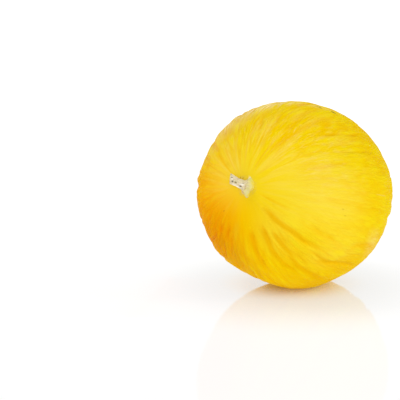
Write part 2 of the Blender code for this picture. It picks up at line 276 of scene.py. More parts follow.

# %% Folds drawn by rule
# The middle of the side with folds placed one by one, and the cosine of how far it reaches
HAND_PLACED_SIDE = np.array((0.47, 0.0, 0.88))
HAND_PLACED_REACH = 0.22
DRAWN_FOLDS = 90
DRAWN_SEED = 7


def drawn_folds():
    """Folds placed by rule where none is placed one by one."""
    rng = random.Random(DRAWN_SEED)
    folds = []
    for _ in range(DRAWN_FOLDS):
        middle = rng.uniform(32, 142)
        around = rng.uniform(-180, 180)
        half_length = rng.uniform(7, 20)
        slant = rng.uniform(-3, 3)
        bend = rng.uniform(-1.5, 1.5)
        half_width = rng.uniform(1.5, 2.5)
        depth = rng.uniform(0.6, 1.5)
        facing = direction(math.radians(middle), math.radians(around)) @ HAND_PLACED_SIDE
        if facing < HAND_PLACED_REACH:
            start = (middle - half_length, around - slant)
            end = (middle + half_length, around + slant)
            folds.append((half_width, depth, start, (middle, around + bend), end))
    return folds


ALL_FOLDS = FOLDS + tuple(drawn_folds())
print("Folds in all:", len(ALL_FOLDS))

# %% [markdown]
# ## The whole rind
#
# Relief and lobes are raised from an ellipsoid along its normal. The wrinkles calm down
# towards both ends and round the spot the melon rests on. The stem end is a little hollow,
# and the blossom end keeps a shallow dimple with a low ring, the scar of the flower. One
# function gives all of it for any pair of angles, so marks on the rind can ask it as well.

# %% Every point of the rind from its two angles
# Depth and reach of the dimples, and height, radius and width of the ring
STEM_DIMPLE = (1.2 * MM, 15.0 * MM)
BLOSSOM_DIMPLE = (1.6 * MM, 9.0 * MM)
BLOSSOM_RING = (0.8 * MM, 12.0 * MM, 3.0 * MM)
# Where the relief starts, and where it is whole: from either end, and from the resting point
STEM_CALM = (math.radians(9.0), math.radians(34.0))
FOLD_CALM = (math.radians(7.0), math.radians(18.0))
BLOSSOM_CALM = (math.radians(7.0), math.radians(24.0))
FLAT_CALM = (15.0 * MM, 36.0 * MM)
# The power of the sine with which the lobes fade out towards both ends
LOBE_FADE = 1.5


def resting_point():
    """The lowest point of the plain fruit, in its own frame."""
    sunk = math.hypot(RADIUS * math.cos(STEM_LIFT), HALF_LENGTH * math.sin(STEM_LIFT))
    return np.array((0.0, -RADIUS**2 * math.cos(STEM_LIFT), -HALF_LENGTH**2 * math.sin(STEM_LIFT))) / sunk


def end_height(points):
    """Lift along the fruit's axis that shapes the stem end and the blossom scar."""
    x, y, z = points.T
    off_axis = np.hypot(x, y)
    depth, reach = STEM_DIMPLE
    stem_lift = -depth * np.exp(-(off_axis / reach) ** 2)
    depth, reach = BLOSSOM_DIMPLE
    ring_height, ring_radius, ring_width = BLOSSOM_RING
    blossom_lift = depth * np.exp(-(off_axis / reach) ** 2)
    blossom_lift -= ring_height * np.exp(-((off_axis - ring_radius) / ring_width) ** 2)
    return np.where(z > 0.0, stem_lift, blossom_lift)


def skin_points(polar, around):
    """Points of the rind in the fruit's own frame, with its relief and the painted shade and highlight
    there.
    """
    unit = direction(polar, around)
    size = np.array((RADIUS, RADIUS, HALF_LENGTH))
    plain = unit * size
    normal = unit / size
    normal /= np.linalg.norm(normal, axis=1, keepdims=True)

    relief, tone = wrinkle_relief(polar, around)
    calm = smoothstep(*STEM_CALM, polar)
    relief *= calm
    tone *= calm
    count, stretch, contrast = FOLD_PATCHES
    firmness = 1.0 + contrast * drawn_out_noise(polar, around, count, stretch)
    firmness *= smoothstep(*FOLD_CALM, polar)
    for fold in ALL_FOLDS:
        fold_height, fold_tone = fold_relief(polar, around, fold)
        relief += firmness * fold_height
        tone += firmness * fold_tone
    calm = smoothstep(*BLOSSOM_CALM, math.pi - polar)
    calm *= smoothstep(*FLAT_CALM, np.linalg.norm(plain - resting_point(), axis=1))
    relief *= calm
    height = relief + lobe_height(around) * np.sin(polar) ** LOBE_FADE
    points = plain + normal * height[:, None]
    points[:, 2] += end_height(points)
    return points, relief, tone * calm


print("Resting point in mm:", [round(float(value) / MM, 1) for value in resting_point()])

# %% [markdown]
# ## A sphere to start from
#
# A sphere has the right topology: a pole at the stem, a pole at the blossom end and lines
# that run between them as the wrinkles do. Its rings are crowded a little towards the two
# poles, where wrinkles meet. The operator slows down badly on a sphere with very many
# faces, so the sphere is made coarse, and every face is then cut up.

# %% A sphere and the two angles of its points
POLE_CROWDING = 0.2


def sphere_with_angles(segments, rings, cuts):
    """A unit sphere with rings crowded towards both poles, and the two angles of its points."""
    bm = bmesh.new()
    bmesh.ops.create_uvsphere(bm, u_segments=segments, v_segments=rings, radius=1.0)
    if cuts:
        bmesh.ops.subdivide_edges(bm, edges=bm.edges, cuts=cuts, use_grid_fill=True)
    unit = np.array([vert.co for vert in bm.verts])
    unit /= np.linalg.norm(unit, axis=1, keepdims=True)
    polar = np.arccos(np.clip(unit[:, 2], -1.0, 1.0))
    around = np.arctan2(unit[:, 1], unit[:, 0])
    return bm, polar - POLE_CROWDING * np.sin(2.0 * polar), around


print("Rings at both poles are", round(1.0 - 2.0 * POLE_CROWDING, 2), "times as wide as evenly spaced ones")

# %% [markdown]
# ## Laying the fruit down
#
# The fruit has to lie exactly where the CAD model has it. Only the box of the CAD node is
# known, so the same fruit is worked out once on the CAD model's own coarse sphere and
# turned. Where the upper corner of its box has to move to is where the centre goes.

# %% Where the fruit's centre is in the CAD model
CAD_SEGMENTS = 160
CAD_RINGS = 36

bm, polar, around = sphere_with_angles(CAD_SEGMENTS, CAD_RINGS, 0)
bm.free()
coarse = skin_points(polar, around)[0] @ np.array(FRUIT_TURN.to_3x3()).T
node_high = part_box("melon_fruit")[1]
FRUIT_CENTRE = node_high - Vector(coarse.max(axis=0))
TO_CAD = Matrix.Translation(FRUIT_CENTRE) @ FRUIT_TURN
print("Fruit centre in mm:", [round(value * 1000, 2) for value in FRUIT_CENTRE])

# %% [markdown]
# ## The rind as a mesh
#
# The sphere is made fine enough for every crease, and each of its points is carried to its
# place. A Displace modifier with a noise texture could raise plain wrinkles, but not folds
# placed one by one. The points also keep what the finish will ask for: the tone of the
# relief, which sets painted shade and highlight, and the run, which is their place round
# the fruit and along it. Then a plane cuts the underside level at the floor, where the
# fruit's own weight has flattened it.

# %% From a bmesh to a finished piece
def finished_object(name, bm):
    """A smooth object at the origin that rides on the part."""
    bmesh.ops.recalc_face_normals(bm, faces=bm.faces)
    mesh = bpy.data.meshes.new(name)
    bm.to_mesh(mesh)
    bm.free()
    mesh.shade_smooth()
    thing = bpy.data.objects.new(name, mesh)
    bpy.context.scene.collection.objects.link(thing)
    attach(thing, "root")
    print(name, "has", len(mesh.polygons), "faces")
    return thing


# %% Build the rind
RIND_SEGMENTS = 112
RIND_RINGS = 54
RIND_CUTS = 3
FLOOR_SNAP = 0.02 * MM

bm, polar, around = sphere_with_angles(RIND_SEGMENTS, RIND_RINGS, RIND_CUTS)
points, relief, tone = skin_points(polar, around)
tone_layer = bm.verts.layers.float.new("tone")
run_layer = bm.verts.layers.float_vector.new("run")
for vert, point, shade, down, turn in zip(bm.verts, points, tone, polar, around):
    vert.co = point
    vert[tone_layer] = shade
    vert[run_layer] = (math.cos(turn), math.sin(turn), down / math.pi)
bmesh.ops.transform(bm, matrix=TO_CAD, verts=bm.verts)
everything = bm.verts[:] + bm.edges[:] + bm.faces[:]
bmesh.ops.bisect_plane(bm, geom=everything, dist=FLOOR_SNAP, plane_co=(0.0, 0.0, 0.0),
                       plane_no=(0.0, 0.0, 1.0), clear_inner=True)
rim = [edge for edge in bm.edges if edge.is_boundary]
for edge in rim:
    for vert in edge.verts:
        vert.co.z = 0.0
bmesh.ops.edgeloop_fill(bm, edges=rim)
rind = finished_object("rind", bm)
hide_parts("melon_fruit")
print("Relief in mm:", round(float(relief.min()) / MM, 2), "to", round(float(relief.max()) / MM, 2))
print("Tone:", [round(float(value), 2) for value in np.percentile(tone, (1, 10, 50, 90, 99))])

# %% [markdown]
# ## The stem stub
#
# A ripe melon of this kind is cut with a short piece of its stem. The stub has dried hard:
# a wide foot with six low spurs that grip the rind, a narrow bent neck with ribs and
# fibres along it, and a slanting cut end with a raised rim round sunken pith. A curve with
# a bevel could give the bend, but not the spurs. A cylinder carried along the bend gives
# all of it, with its width set slice by slice.

# %% Path and thickness of the stem
STEM_SHIFT = 1.8 * MM
STEM_FOOT = HALF_LENGTH - 2.2 * MM
STEM_PATH = (
    (STEM_SHIFT, 0.0, 0.0),
    (STEM_SHIFT, 0.0, 4.6 * MM),
    (-3.0 * MM, 2.2 * MM, 8.2 * MM),
    (-8.2 * MM, 4.6 * MM, 10.3 * MM),
)
# Half width and half height of the stem at a share of its length
STEM_SECTIONS = (
    (0.0, 5.0 * MM, 6.5 * MM),
    (0.07, 4.6 * MM, 6.0 * MM),
    (0.22, 3.7 * MM, 4.6 * MM),
    (0.42, 3.0 * MM, 3.4 * MM),
    (0.70, 2.8 * MM, 3.1 * MM),
    (1.0, 3.1 * MM, 3.5 * MM),
)
# Spurs of the foot: turn round the stem in degrees, and how far they reach out
SPURS = ((80, 0.34), (28, 0.36), (-84, 0.29), (-122, 0.24), (-150, 0.18), (155, 0.16))
SPUR_WIDTH = math.radians(24.0)
SPUR_FADE = 0.45
STEM_RIBS = 5
STEM_RIB_HEIGHT = 0.09
STEM_RIB_TURN = 0.6
# The knife went through at a slant: how much further the upper side reaches, and from where
END_SLANT = 0.45
END_SLANT_START = 0.6


def stem_section(share):
    """Half width and half height of the stem at a share of its length."""
    shares, widths, heights = zip(*STEM_SECTIONS)
    return float(np.interp(share, shares, widths)), float(np.interp(share, shares, heights))


def stem_path(share):
    """Point and direction of the stem's bent middle line at a share of its length."""
    a, b, c, d = (Vector(point) for point in STEM_PATH)
    rest = 1.0 - share
    point = rest**3 * a + 3.0 * rest**2 * share * b + 3.0 * rest * share**2 * c + share**3 * d
    heading = rest**2 * (b - a) + 2.0 * rest * share * (c - b) + share**2 * (d - c)
    return point, heading.normalized()


def stem_swell(share, turn):
    """How far the ribs and the spurs of the foot stand out, as a share of the thickness."""
    spurs = sum(reach * math.exp(-(wrapped(turn - math.radians(at)) / SPUR_WIDTH) ** 2)
                for at, reach in SPURS)
    fade = max(0.0, 1.0 - share / SPUR_FADE) ** 2
    return fade * spurs + STEM_RIB_HEIGHT * math.cos(STEM_RIBS * turn + STEM_RIB_TURN)


stem_reach = stem_path(1.0)[0] - stem_path(0.0)[0]
print("Spurs of the foot:", len(SPURS), "- reach of the stem in mm:", round(stem_reach.length / MM, 1))

# %% Any point of the stem's side
# Fibres and dents: their height as a share of the thickness, how many there are round the
# stem and along it, and where in the noise they are read
FIBRES = (0.035, 4.0, 5.0, 0.0)
DENTS = (0.05, 1.6, 9.0, 5.0)


def side_noise(share, turn, height, count_round, count_along, shift):
    """Low bumps on the stem's side."""
    place = (count_round * math.cos(turn), count_round * math.sin(turn), count_along * share + shift)
    return height * noise.noise(Vector(place))


def stem_point(share, turn):
    """Point of the stem's side at a share of its length and a turn round it."""
    middle, heading = stem_path(share)
    wide = Vector((0.0, 1.0, 0.0)).cross(heading).normalized()
    high = heading.cross(wide)
    half_width, half_height = stem_section(share)
    swell = 1.0 + stem_swell(share, turn)
    swell += side_noise(share, turn, *FIBRES) + side_noise(share, turn, *DENTS)
    sideways = swell * half_width * math.cos(turn)
    upwards = swell * half_height * math.sin(turn)
    forwards = END_SLANT * float(smoothstep(END_SLANT_START, 1.0, share)) * upwards
    return middle + sideways * wide + upwards * high + forwards * heading


end_top = stem_point(1.0, math.pi / 2.0)
print("Upper edge of the cut end in mm:", [round(value / MM, 1) for value in end_top])

# %% Build the stem
STEM_SIDES = 96
STEM_SLICES = 56
# Steps of the cut end from its edge inwards: how wide, and how far out or in
CUT_END_STEPS = (
    (0.25 * MM, 0.12 * MM),
    (0.9 * MM, 0.0),
    (0.5 * MM, -0.7 * MM),
    (0.6 * MM, 0.0),
)

bm = bmesh.new()
bmesh.ops.create_cone(bm, cap_ends=True, segments=STEM_SIDES, radius1=1.0, radius2=1.0, depth=1.0)
rises = [edge for edge in bm.edges if abs(edge.verts[0].co.z - edge.verts[1].co.z) > 0.5]
bmesh.ops.subdivide_edges(bm, edges=rises, cuts=STEM_SLICES - 1)
grain_layer = bm.verts.layers.float_vector.new("grain")
end_layer = bm.verts.layers.float.new("cut_end")
for vert in bm.verts:
    share, turn = vert.co.z + 0.5, math.atan2(vert.co.y, vert.co.x)
    vert.co = stem_point(share, turn)
    vert[grain_layer] = (math.cos(turn), math.sin(turn), share)
cut_face = max((face for face in bm.faces if len(face.verts) == STEM_SIDES),
               key=lambda face: face.calc_center_median().z)
for thickness, depth in CUT_END_STEPS:
    bmesh.ops.inset_individual(bm, faces=[cut_face], thickness=thickness, depth=depth)
    for vert in cut_face.verts:
        vert[end_layer] = 1.0
bmesh.ops.poke(bm, faces=[cut_face])
bmesh.ops.translate(bm, vec=(0.0, 0.0, STEM_FOOT), verts=bm.verts)
bmesh.ops.transform(bm, matrix=TO_CAD, verts=bm.verts)
stem = finished_object("stem", bm)
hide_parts("stem_stub")

# %% [markdown]
# ## Tools for the finishes
#
# Every finish is worked out from noise, so it has no picture behind it. A small helper adds
# a node and fills its sockets, and another does sums between sockets. Two effects are
# needed on the rind and on the stem, and become node groups: a cloudy mask from noise, and
# a small mark at one place on the surface. A group is built once, and every use of it gets
# values of its own.

# %% Helpers for nodes
def add_node(tree, kind, inputs=None, **settings):
    """Add a node, set its properties, then fill or link its inputs by name or number."""
    made = tree.nodes.new(kind)
    for name, value in settings.items():
        setattr(made, name, value)
    for key, value in (inputs or {}).items():
        if isinstance(value, bpy.types.NodeSocket):
            tree.links.new(value, made.inputs[key])
        else:
            made.inputs[key].default_value = value
    return made


def maths(tree, operation, *values):
    """A Math node's result."""
    return add_node(tree, "ShaderNodeMath", dict(enumerate(values)), operation=operation).outputs[0]


def vector_maths(tree, operation, *values):
    """A Vector Math node's vector, or its value where it gives a number."""
    made = add_node(tree, "ShaderNodeVectorMath", dict(enumerate(values)), operation=operation)
    return made.outputs["Value" if operation in ("DOT_PRODUCT", "LENGTH") else "Vector"]


# %% Node group: a cloudy mask
FLOAT, VECTOR = "NodeSocketFloat", "NodeSocketVector"


def new_group(name, inputs, outputs):
    """A shader node group with named sockets, and its input and output nodes."""
    group = bpy.data.node_groups.new(name, "ShaderNodeTree")
    for label, kind in inputs:
        group.interface.new_socket(name=label, in_out="INPUT", socket_type=kind)
    for label, kind in outputs:
        group.interface.new_socket(name=label, in_out="OUTPUT", socket_type=kind)
    return group, group.nodes.new("NodeGroupInput"), group.nodes.new("NodeGroupOutput")


cloud_group, given, result = new_group(
    "cloud_mask",
    [("Place", VECTOR), ("Scale", FLOAT), ("Detail", FLOAT), ("From", FLOAT), ("To", FLOAT)],
    [("Mask", FLOAT)],
)
grains = add_node(cloud_group, "ShaderNodeTexNoise", {
    "Vector": given.outputs["Place"], "Scale": given.outputs["Scale"],
    "Detail": given.outputs["Detail"]})
spread = add_node(cloud_group, "ShaderNodeMapRange", {
    "Value": grains.outputs["Fac"], "From Min": given.outputs["From"],
    "From Max": given.outputs["To"]}, interpolation_type="SMOOTHSTEP")
cloud_group.links.new(spread.outputs["Result"], result.inputs["Mask"])
print("Group:", cloud_group.name, "with", len(cloud_group.nodes), "nodes")

# %% [markdown]
# The mark is a long soft spot: the distance from its middle is measured along it and across
# it, each as a share of its half length or half width, and the two shares make one. Fine
# noise frays its edge. A painted image could hold such marks too, but then the rind would
# have to be unwrapped for it.

# %% Node group: a mark at one place
FRAY_SCALE = 900.0

mark_group, given, result = new_group(
    "mark_mask",
    [("Place", VECTOR), ("Centre", VECTOR), ("Along", VECTOR), ("Half Length", FLOAT),
     ("Half Width", FLOAT), ("Edge", FLOAT), ("Ragged", FLOAT)],
    [("Mask", FLOAT)],
)


def mark_maths(operation, *values):
    """A Math node's result in the group of the mark."""
    return maths(mark_group, operation, *values)


offset = vector_maths(mark_group, "SUBTRACT", given.outputs["Place"], given.outputs["Centre"])
along = vector_maths(mark_group, "DOT_PRODUCT", offset, given.outputs["Along"])
along_squared = mark_maths("MULTIPLY", along, along)
offset_squared = vector_maths(mark_group, "DOT_PRODUCT", offset, offset)
across_squared = mark_maths("MAXIMUM", mark_maths("SUBTRACT", offset_squared, along_squared), 0.0)
long_share = mark_maths("DIVIDE", along, given.outputs["Half Length"])
wide_share = mark_maths("DIVIDE", mark_maths("SQRT", across_squared), given.outputs["Half Width"])
long_squared = mark_maths("MULTIPLY", long_share, long_share)
wide_squared = mark_maths("MULTIPLY", wide_share, wide_share)
share = mark_maths("SQRT", mark_maths("ADD", long_squared, wide_squared))
fray = add_node(mark_group, "ShaderNodeTexNoise", {"Vector": given.outputs["Place"], "Scale": FRAY_SCALE})
frayed = mark_maths("MULTIPLY", mark_maths("SUBTRACT", fray.outputs["Fac"], 0.5), given.outputs["Ragged"])
fade = add_node(mark_group, "ShaderNodeMapRange", {
    "Value": mark_maths("ADD", share, frayed), "From Min": 1.0,
    "From Max": mark_maths("SUBTRACT", 1.0, given.outputs["Edge"])}, interpolation_type="SMOOTHSTEP")
mark_group.links.new(fade.outputs["Result"], result.inputs["Mask"])
print("Group:", mark_group.name, "with", len(mark_group.nodes), "nodes")


# %% Short ways to use the two groups
def placed_group(tree, group, place, values):
    """The mask of a group placed in a material with its own values."""
    made = add_node(tree, "ShaderNodeGroup", node_tree=group)
    tree.links.new(place, made.inputs["Place"])
    for label, value in values.items():
        made.inputs[label].default_value = value
    return made.outputs["Mask"]


def cloud(tree, place, scale, detail, low, high):
    """The cloudy mask: 0 where the noise is under low, 1 where it is over high."""
    return placed_group(tree, cloud_group, place, {
        "Scale": scale, "Detail": detail, "From": low, "To": high})


def mark(tree, place, centre, along, half_length, half_width, edge, ragged):
    """A mark at one place on the surface: how soft its edge is, and how ragged."""
    return placed_group(tree, mark_group, place, {
        "Centre": centre, "Along": along, "Half Length": half_length, "Half Width": half_width,
        "Edge": edge, "Ragged": ragged})


def mark_between(tree, place, first, last, half_width, edge, ragged):
    """A mark that runs from one place to another, and half its width past both."""
    along = (last - first).normalized()
    half_length = (last - first).length / 2.0 + half_width
    return mark(tree, place, (first + last) / 2.0, along, half_length, half_width, edge, ragged)


# %% Short ways to work with masks and colours
def scaled(tree, mask, factor):
    """A mask made weaker or stronger."""
    return maths(tree, "MULTIPLY", mask, factor)


def both(tree, first, second):
    """The mask of where two masks overlap."""
    return maths(tree, "MULTIPLY", first, second)


def rest_of(tree, mask):
    """The mask of what another mask leaves."""
    return maths(tree, "SUBTRACT", 1.0, mask)


def mapped(tree, value, low, high, smooth=True):
    """A value spread from 0 at low to 1 at high."""
    return add_node(tree, "ShaderNodeMapRange", {"Value": value, "From Min": low, "From Max": high},
                    interpolation_type="SMOOTHSTEP" if smooth else "LINEAR").outputs["Result"]


def blend(tree, mask, first, second):
    """The first colour where a mask is 0, the second where it is 1."""
    made = add_node(tree, "ShaderNodeMix", {"Factor": mask, 6: first, 7: second}, data_type="RGBA")
    return made.outputs[2]


def tinted(tree, colour, tint, mask, strength):
    """A colour with a tint laid over it where a mask says."""
    return blend(tree, scaled(tree, mask, strength), colour, tint)


def new_material(name):
    """A node material, its tree and its Principled shader."""
    material = bpy.data.materials.new(name)
    material.use_nodes = True
    return material, material.node_tree, material.node_tree.nodes["Principled BSDF"]


# %% [markdown]
# ## The finish of the rind
#
# The rind is a strong warm yellow with a thin natural wax on it. The creases get a painted
# shade of deeper gold, and the tops of the wrinkles a painted highlight. Colour clouds a hand
# wide keep it from looking painted, and fine lighter and darker streaks run from end to end.
# The relief of the mesh itself drives the painted crease shade and highlight, through an
# attribute that was stored while the rind was made, so colour and shape always agree.

# %% Ground colour of the rind
LEMON = (0.75, 0.545, 0.003, 1.0)
DEEP_YELLOW = (0.75, 0.505, 0.0, 1.0)

rind_finish, tree, shader = new_material("rind_finish")
place = add_node(tree, "ShaderNodeTexCoord").outputs["Object"]
tone_read = add_node(tree, "ShaderNodeAttribute", attribute_name="tone").outputs["Fac"]
run = add_node(tree, "ShaderNodeAttribute", attribute_name="run").outputs["Vector"]
# The share of the way from the stem to the blossom end
polar_share = add_node(tree, "ShaderNodeSeparateXYZ", {"Vector": run}).outputs["Z"]
off_stem = mapped(tree, polar_share, low=0.07, high=0.3)
clouds = cloud(tree, place, scale=22.0, detail=2.0, low=0.35, high=0.65)
colour = blend(tree, clouds, LEMON, DEEP_YELLOW)
print("Rind nodes:", len(tree.nodes))

# %% [markdown]
# Light and shade are painted into large parts of the rind. A painted sheen makes one broad
# side pale and bright, painted shade and warm bounce light make the flank under the stem
# amber, turning to umber lower down, painted shade turns the underside gold, and a few pale
# cream patches are painted reflections. Nearly all of them are very large soft marks. A pale
# ground spot, where the fruit lay in the field, ends the list.

# %% Places on the rind
def rind_place(polar_degrees, around_degrees):
    """The place on the rind at two angles, in the frame of the CAD model."""
    points = skin_points(np.radians([polar_degrees]), np.radians([around_degrees]))[0]
    return TO_CAD @ Vector(points[0])


def rind_mark(start, end, half_width, edge, ragged):
    """A mark on the rind that runs from one pair of angles to another."""
    first, last = rind_place(*start), rind_place(*end)
    return mark_between(tree, place, first, last, half_width * MM, edge, ragged)


print("Under the stem in mm:", [round(value / MM, 1) for value in rind_place(0, 0)])

# %% Large soft zones
GOLD = (0.73, 0.40, 0.0, 1.0)
SHEEN_PALE = (0.765, 0.605, 0.08, 1.0)
AMBER_SHADE = (0.71, 0.29, 0.0, 1.0)
UMBER_SHADE = (0.50, 0.20, 0.0, 1.0)
IVORY = (0.80, 0.64, 0.26, 1.0)
GROUND_SPOT = (0.80, 0.60, 0.12, 1.0)
GROUND_SPOT_CENTRE = (4 * MM, 12 * MM, 0.0)
# All painted light: the pale rows are sheen, the umber and amber rows flank shade, the cream rows
# reflection
# Colour, how strong, from where to where in degrees, half width in mm, raggedness
SOFT_PATCHES = (
    (SHEEN_PALE, 0.22, (22, -45), (44, -57), 24, 0.0),
    (SHEEN_PALE, 0.30, (58, -46), (80, -30), 28, 0.0),
    (UMBER_SHADE, 0.62, (34, -132), (66, -104), 32, 0.0),
    (IVORY, 0.50, (66, 100), (84, 66), 11, 0.8),
    (AMBER_SHADE, 0.40, (18, -135), (34, -122), 20, 0.0),
    (IVORY, 0.10, (10, 150), (24, 150), 36, 0.0),
    (IVORY, 0.45, (90, -22), (104, -32), 14, 0.8),
)

# Painted sheen: a broad pale highlight over one side of the fruit
sheen_zone = rind_mark((35, 10), (60, -8), half_width=44, edge=1.0, ragged=0.0)
colour = tinted(tree, colour, SHEEN_PALE, sheen_zone, strength=0.45)
# Painted shade: the rind turns to gold lower down
height = add_node(tree, "ShaderNodeSeparateXYZ", {"Vector": place}).outputs["Z"]
lower_shade = mapped(tree, height, low=55 * MM, high=0.0)
colour = tinted(tree, colour, GOLD, lower_shade, strength=0.55)
# Painted shade and warm bounce light: the flank under the stem turns amber
flank = rind_mark((28, -132), (54, -122), half_width=50, edge=1.0, ragged=0.0)
colour = tinted(tree, colour, AMBER_SHADE, flank, strength=0.75)
for tint, strength, start, end, half_width, ragged in SOFT_PATCHES:
    patch = rind_mark(start, end, half_width, edge=1.0, ragged=ragged)
    colour = tinted(tree, colour, tint, patch, strength)
underside = mark(tree, place, GROUND_SPOT_CENTRE, (0.0, 1.0, 0.0), half_length=34 * MM,
                 half_width=26 * MM, edge=0.8, ragged=0.5)
colour = tinted(tree, colour, GROUND_SPOT, underside, strength=0.7)
print("Soft patches:", len(SOFT_PATCHES), "- rind nodes:", len(tree.nodes))

# %% [markdown]
# Long soft rays spread from the stem, and fine streaks run from end to end. The upper side
# has short strokes and broad blotches of painted pale reflection as well. All of them are
# clouds in a space where the way round the fruit and the way along it are stretched by
# different amounts, so that they are drawn out along the wrinkles wherever those run.

# %% Rays, streaks, strokes and blotches
BRIGHT = (0.76, 0.60, 0.004, 1.0)


def stretched(tree, run, count_round, count_along):
    """The run of a surface as a place for noise, with bumps round the piece and along it."""
    return vector_maths(tree, "MULTIPLY", run, (count_round, count_round, count_along))


def drawn_out_cloud(tree, run, count_round, count_along, detail, low, high):
    """The cloudy mask, drawn out along a run."""
    return cloud(tree, stretched(tree, run, count_round, count_along), 1.0, detail, low, high)


rays = drawn_out_cloud(tree, run, 8.0, 3.0, detail=2.0, low=0.5, high=0.68)
rays = both(tree, rays, mapped(tree, polar_share, low=0.04, high=0.09))
rays = both(tree, rays, mapped(tree, polar_share, low=0.5, high=0.15))
colour = tinted(tree, colour, GOLD, rays, strength=0.6)

streaks = drawn_out_cloud(tree, run, 26.0, 9.0, detail=3.0, low=0.4, high=0.7)
colour = tinted(tree, colour, BRIGHT, both(tree, streaks, off_stem), strength=0.3)

# Painted pale reflection: short strokes and broad blotches over the upper side
reflection_side = rind_mark((30, 130), (55, 30), half_width=66, edge=1.0, ragged=0.0)
strokes = drawn_out_cloud(tree, run, 30.0, 42.0, detail=2.0, low=0.45, high=0.75)
strokes = both(tree, strokes, mapped(tree, polar_share, low=0.09, high=0.24))
colour = tinted(tree, colour, IVORY, both(tree, strokes, reflection_side), strength=0.24)
blotches = drawn_out_cloud(tree, run, 9.0, 7.0, detail=2.0, low=0.45, high=0.65)
blotches = both(tree, blotches, mapped(tree, polar_share, low=0.03, high=0.08))
colour = tinted(tree, colour, IVORY, both(tree, blotches, reflection_side), strength=0.16)
print("Rind nodes:", len(tree.nodes))

# %% [markdown]
# Painted light follows the relief. The furrows get a painted shade of gold and the crests a
# painted highlight, strongest in the painted sheen, while the furrows of the flank get a
# painted amber shade. A finer net of crinkles lies over everything but the smooth skin round
# the stem. It is too fine for the mesh, so it is noise in the finish: the absolute value
# again gives creases, and their furrows get painted gold shade as well. The same noise,
# longer and finer, gives pleats with painted pale highlights on the upper left shoulder.

# %% Furrows, crests and crinkles
PLEAT_HIGHLIGHT = (0.92, 0.76, 0.50, 1.0)


def creases(tree, run, count_round, count_along, detail, low, high, smooth=True):
    """Noise along a run that is 0 in its creases and 1 on the domes between them."""
    waves = add_node(tree, "ShaderNodeTexNoise", {
        "Vector": stretched(tree, run, count_round, count_along), "Scale": 1.0, "Detail": detail})
    off_middle = maths(tree, "ABSOLUTE", maths(tree, "SUBTRACT", waves.outputs["Fac"], 0.5))
    return mapped(tree, off_middle, low, high, smooth)


crinkles = creases(tree, run, 24.0, 19.0, detail=1.5, low=0.0, high=0.12, smooth=False)
rough_side = rest_of(tree, scaled(tree, sheen_zone, 0.65))
# Painted shade: gold in the crinkle furrows, weaker where the sheen is painted
furrows = both(tree, rest_of(tree, crinkles), off_stem)
colour = tinted(tree, colour, GOLD, both(tree, furrows, rough_side), strength=0.3)

# Painted shade: gold in the hollows of the relief
hollow = mapped(tree, tone_read, low=-0.1, high=-1.2, smooth=False)
colour = tinted(tree, colour, GOLD, hollow, strength=0.75)
# Painted highlight on the crests of the relief, paler still in the painted sheen
crest_highlight = mapped(tree, tone_read, low=-0.2, high=0.6)
crest_highlight = both(tree, crest_highlight, rest_of(tree, scaled(tree, flank, 0.6)))
colour = tinted(tree, colour, BRIGHT, crest_highlight, strength=0.45)
colour = tinted(tree, colour, SHEEN_PALE, both(tree, crest_highlight, sheen_zone), strength=0.5)
# Painted shade: the hollows of the flank go to amber
colour = blend(tree, both(tree, hollow, flank), colour, AMBER_SHADE)

# Painted pale reflection along the upper left shoulder, and painted highlights on its pleats
reflection_zone = rind_mark((46, 150), (62, 105), half_width=24, edge=1.0, ragged=0.2)
colour = tinted(tree, colour, IVORY, reflection_zone, strength=0.32)
pleats = creases(tree, run, 36.0, 7.0, detail=1.0, low=0.05, high=0.10)
pleat_highlight_zone = rind_mark((55, 136), (73, 90), half_width=20, edge=1.0, ragged=0.4)
colour = tinted(tree, colour, PLEAT_HIGHLIGHT, both(tree, pleats, pleat_highlight_zone), strength=0.75)
print("Rind nodes:", len(tree.nodes))

# %% [markdown]
# A fruit that lay in the field has small marks: dull smudges, thin pale scratches and a few
# brown specks on this side, two dry scars on top, and a corky scar at the blossom end. Round
# the foot of the stem the olive marks are painted shade, and two brown marks in the notch by
# the stem are its painted shadow. They are the same marks as before, only small.

# %% Small marks
SCAR = (0.12, 0.08, 0.02, 1.0)
BROWN = (0.30, 0.15, 0.01, 1.0)
CHALK = (0.84, 0.68, 0.24, 1.0)
DULL = (0.66, 0.42, 0.01, 1.0)
CORK = (0.40, 0.28, 0.12, 1.0)
FOOT_SHADE_OLIVE = (0.56, 0.42, 0.09, 1.0)

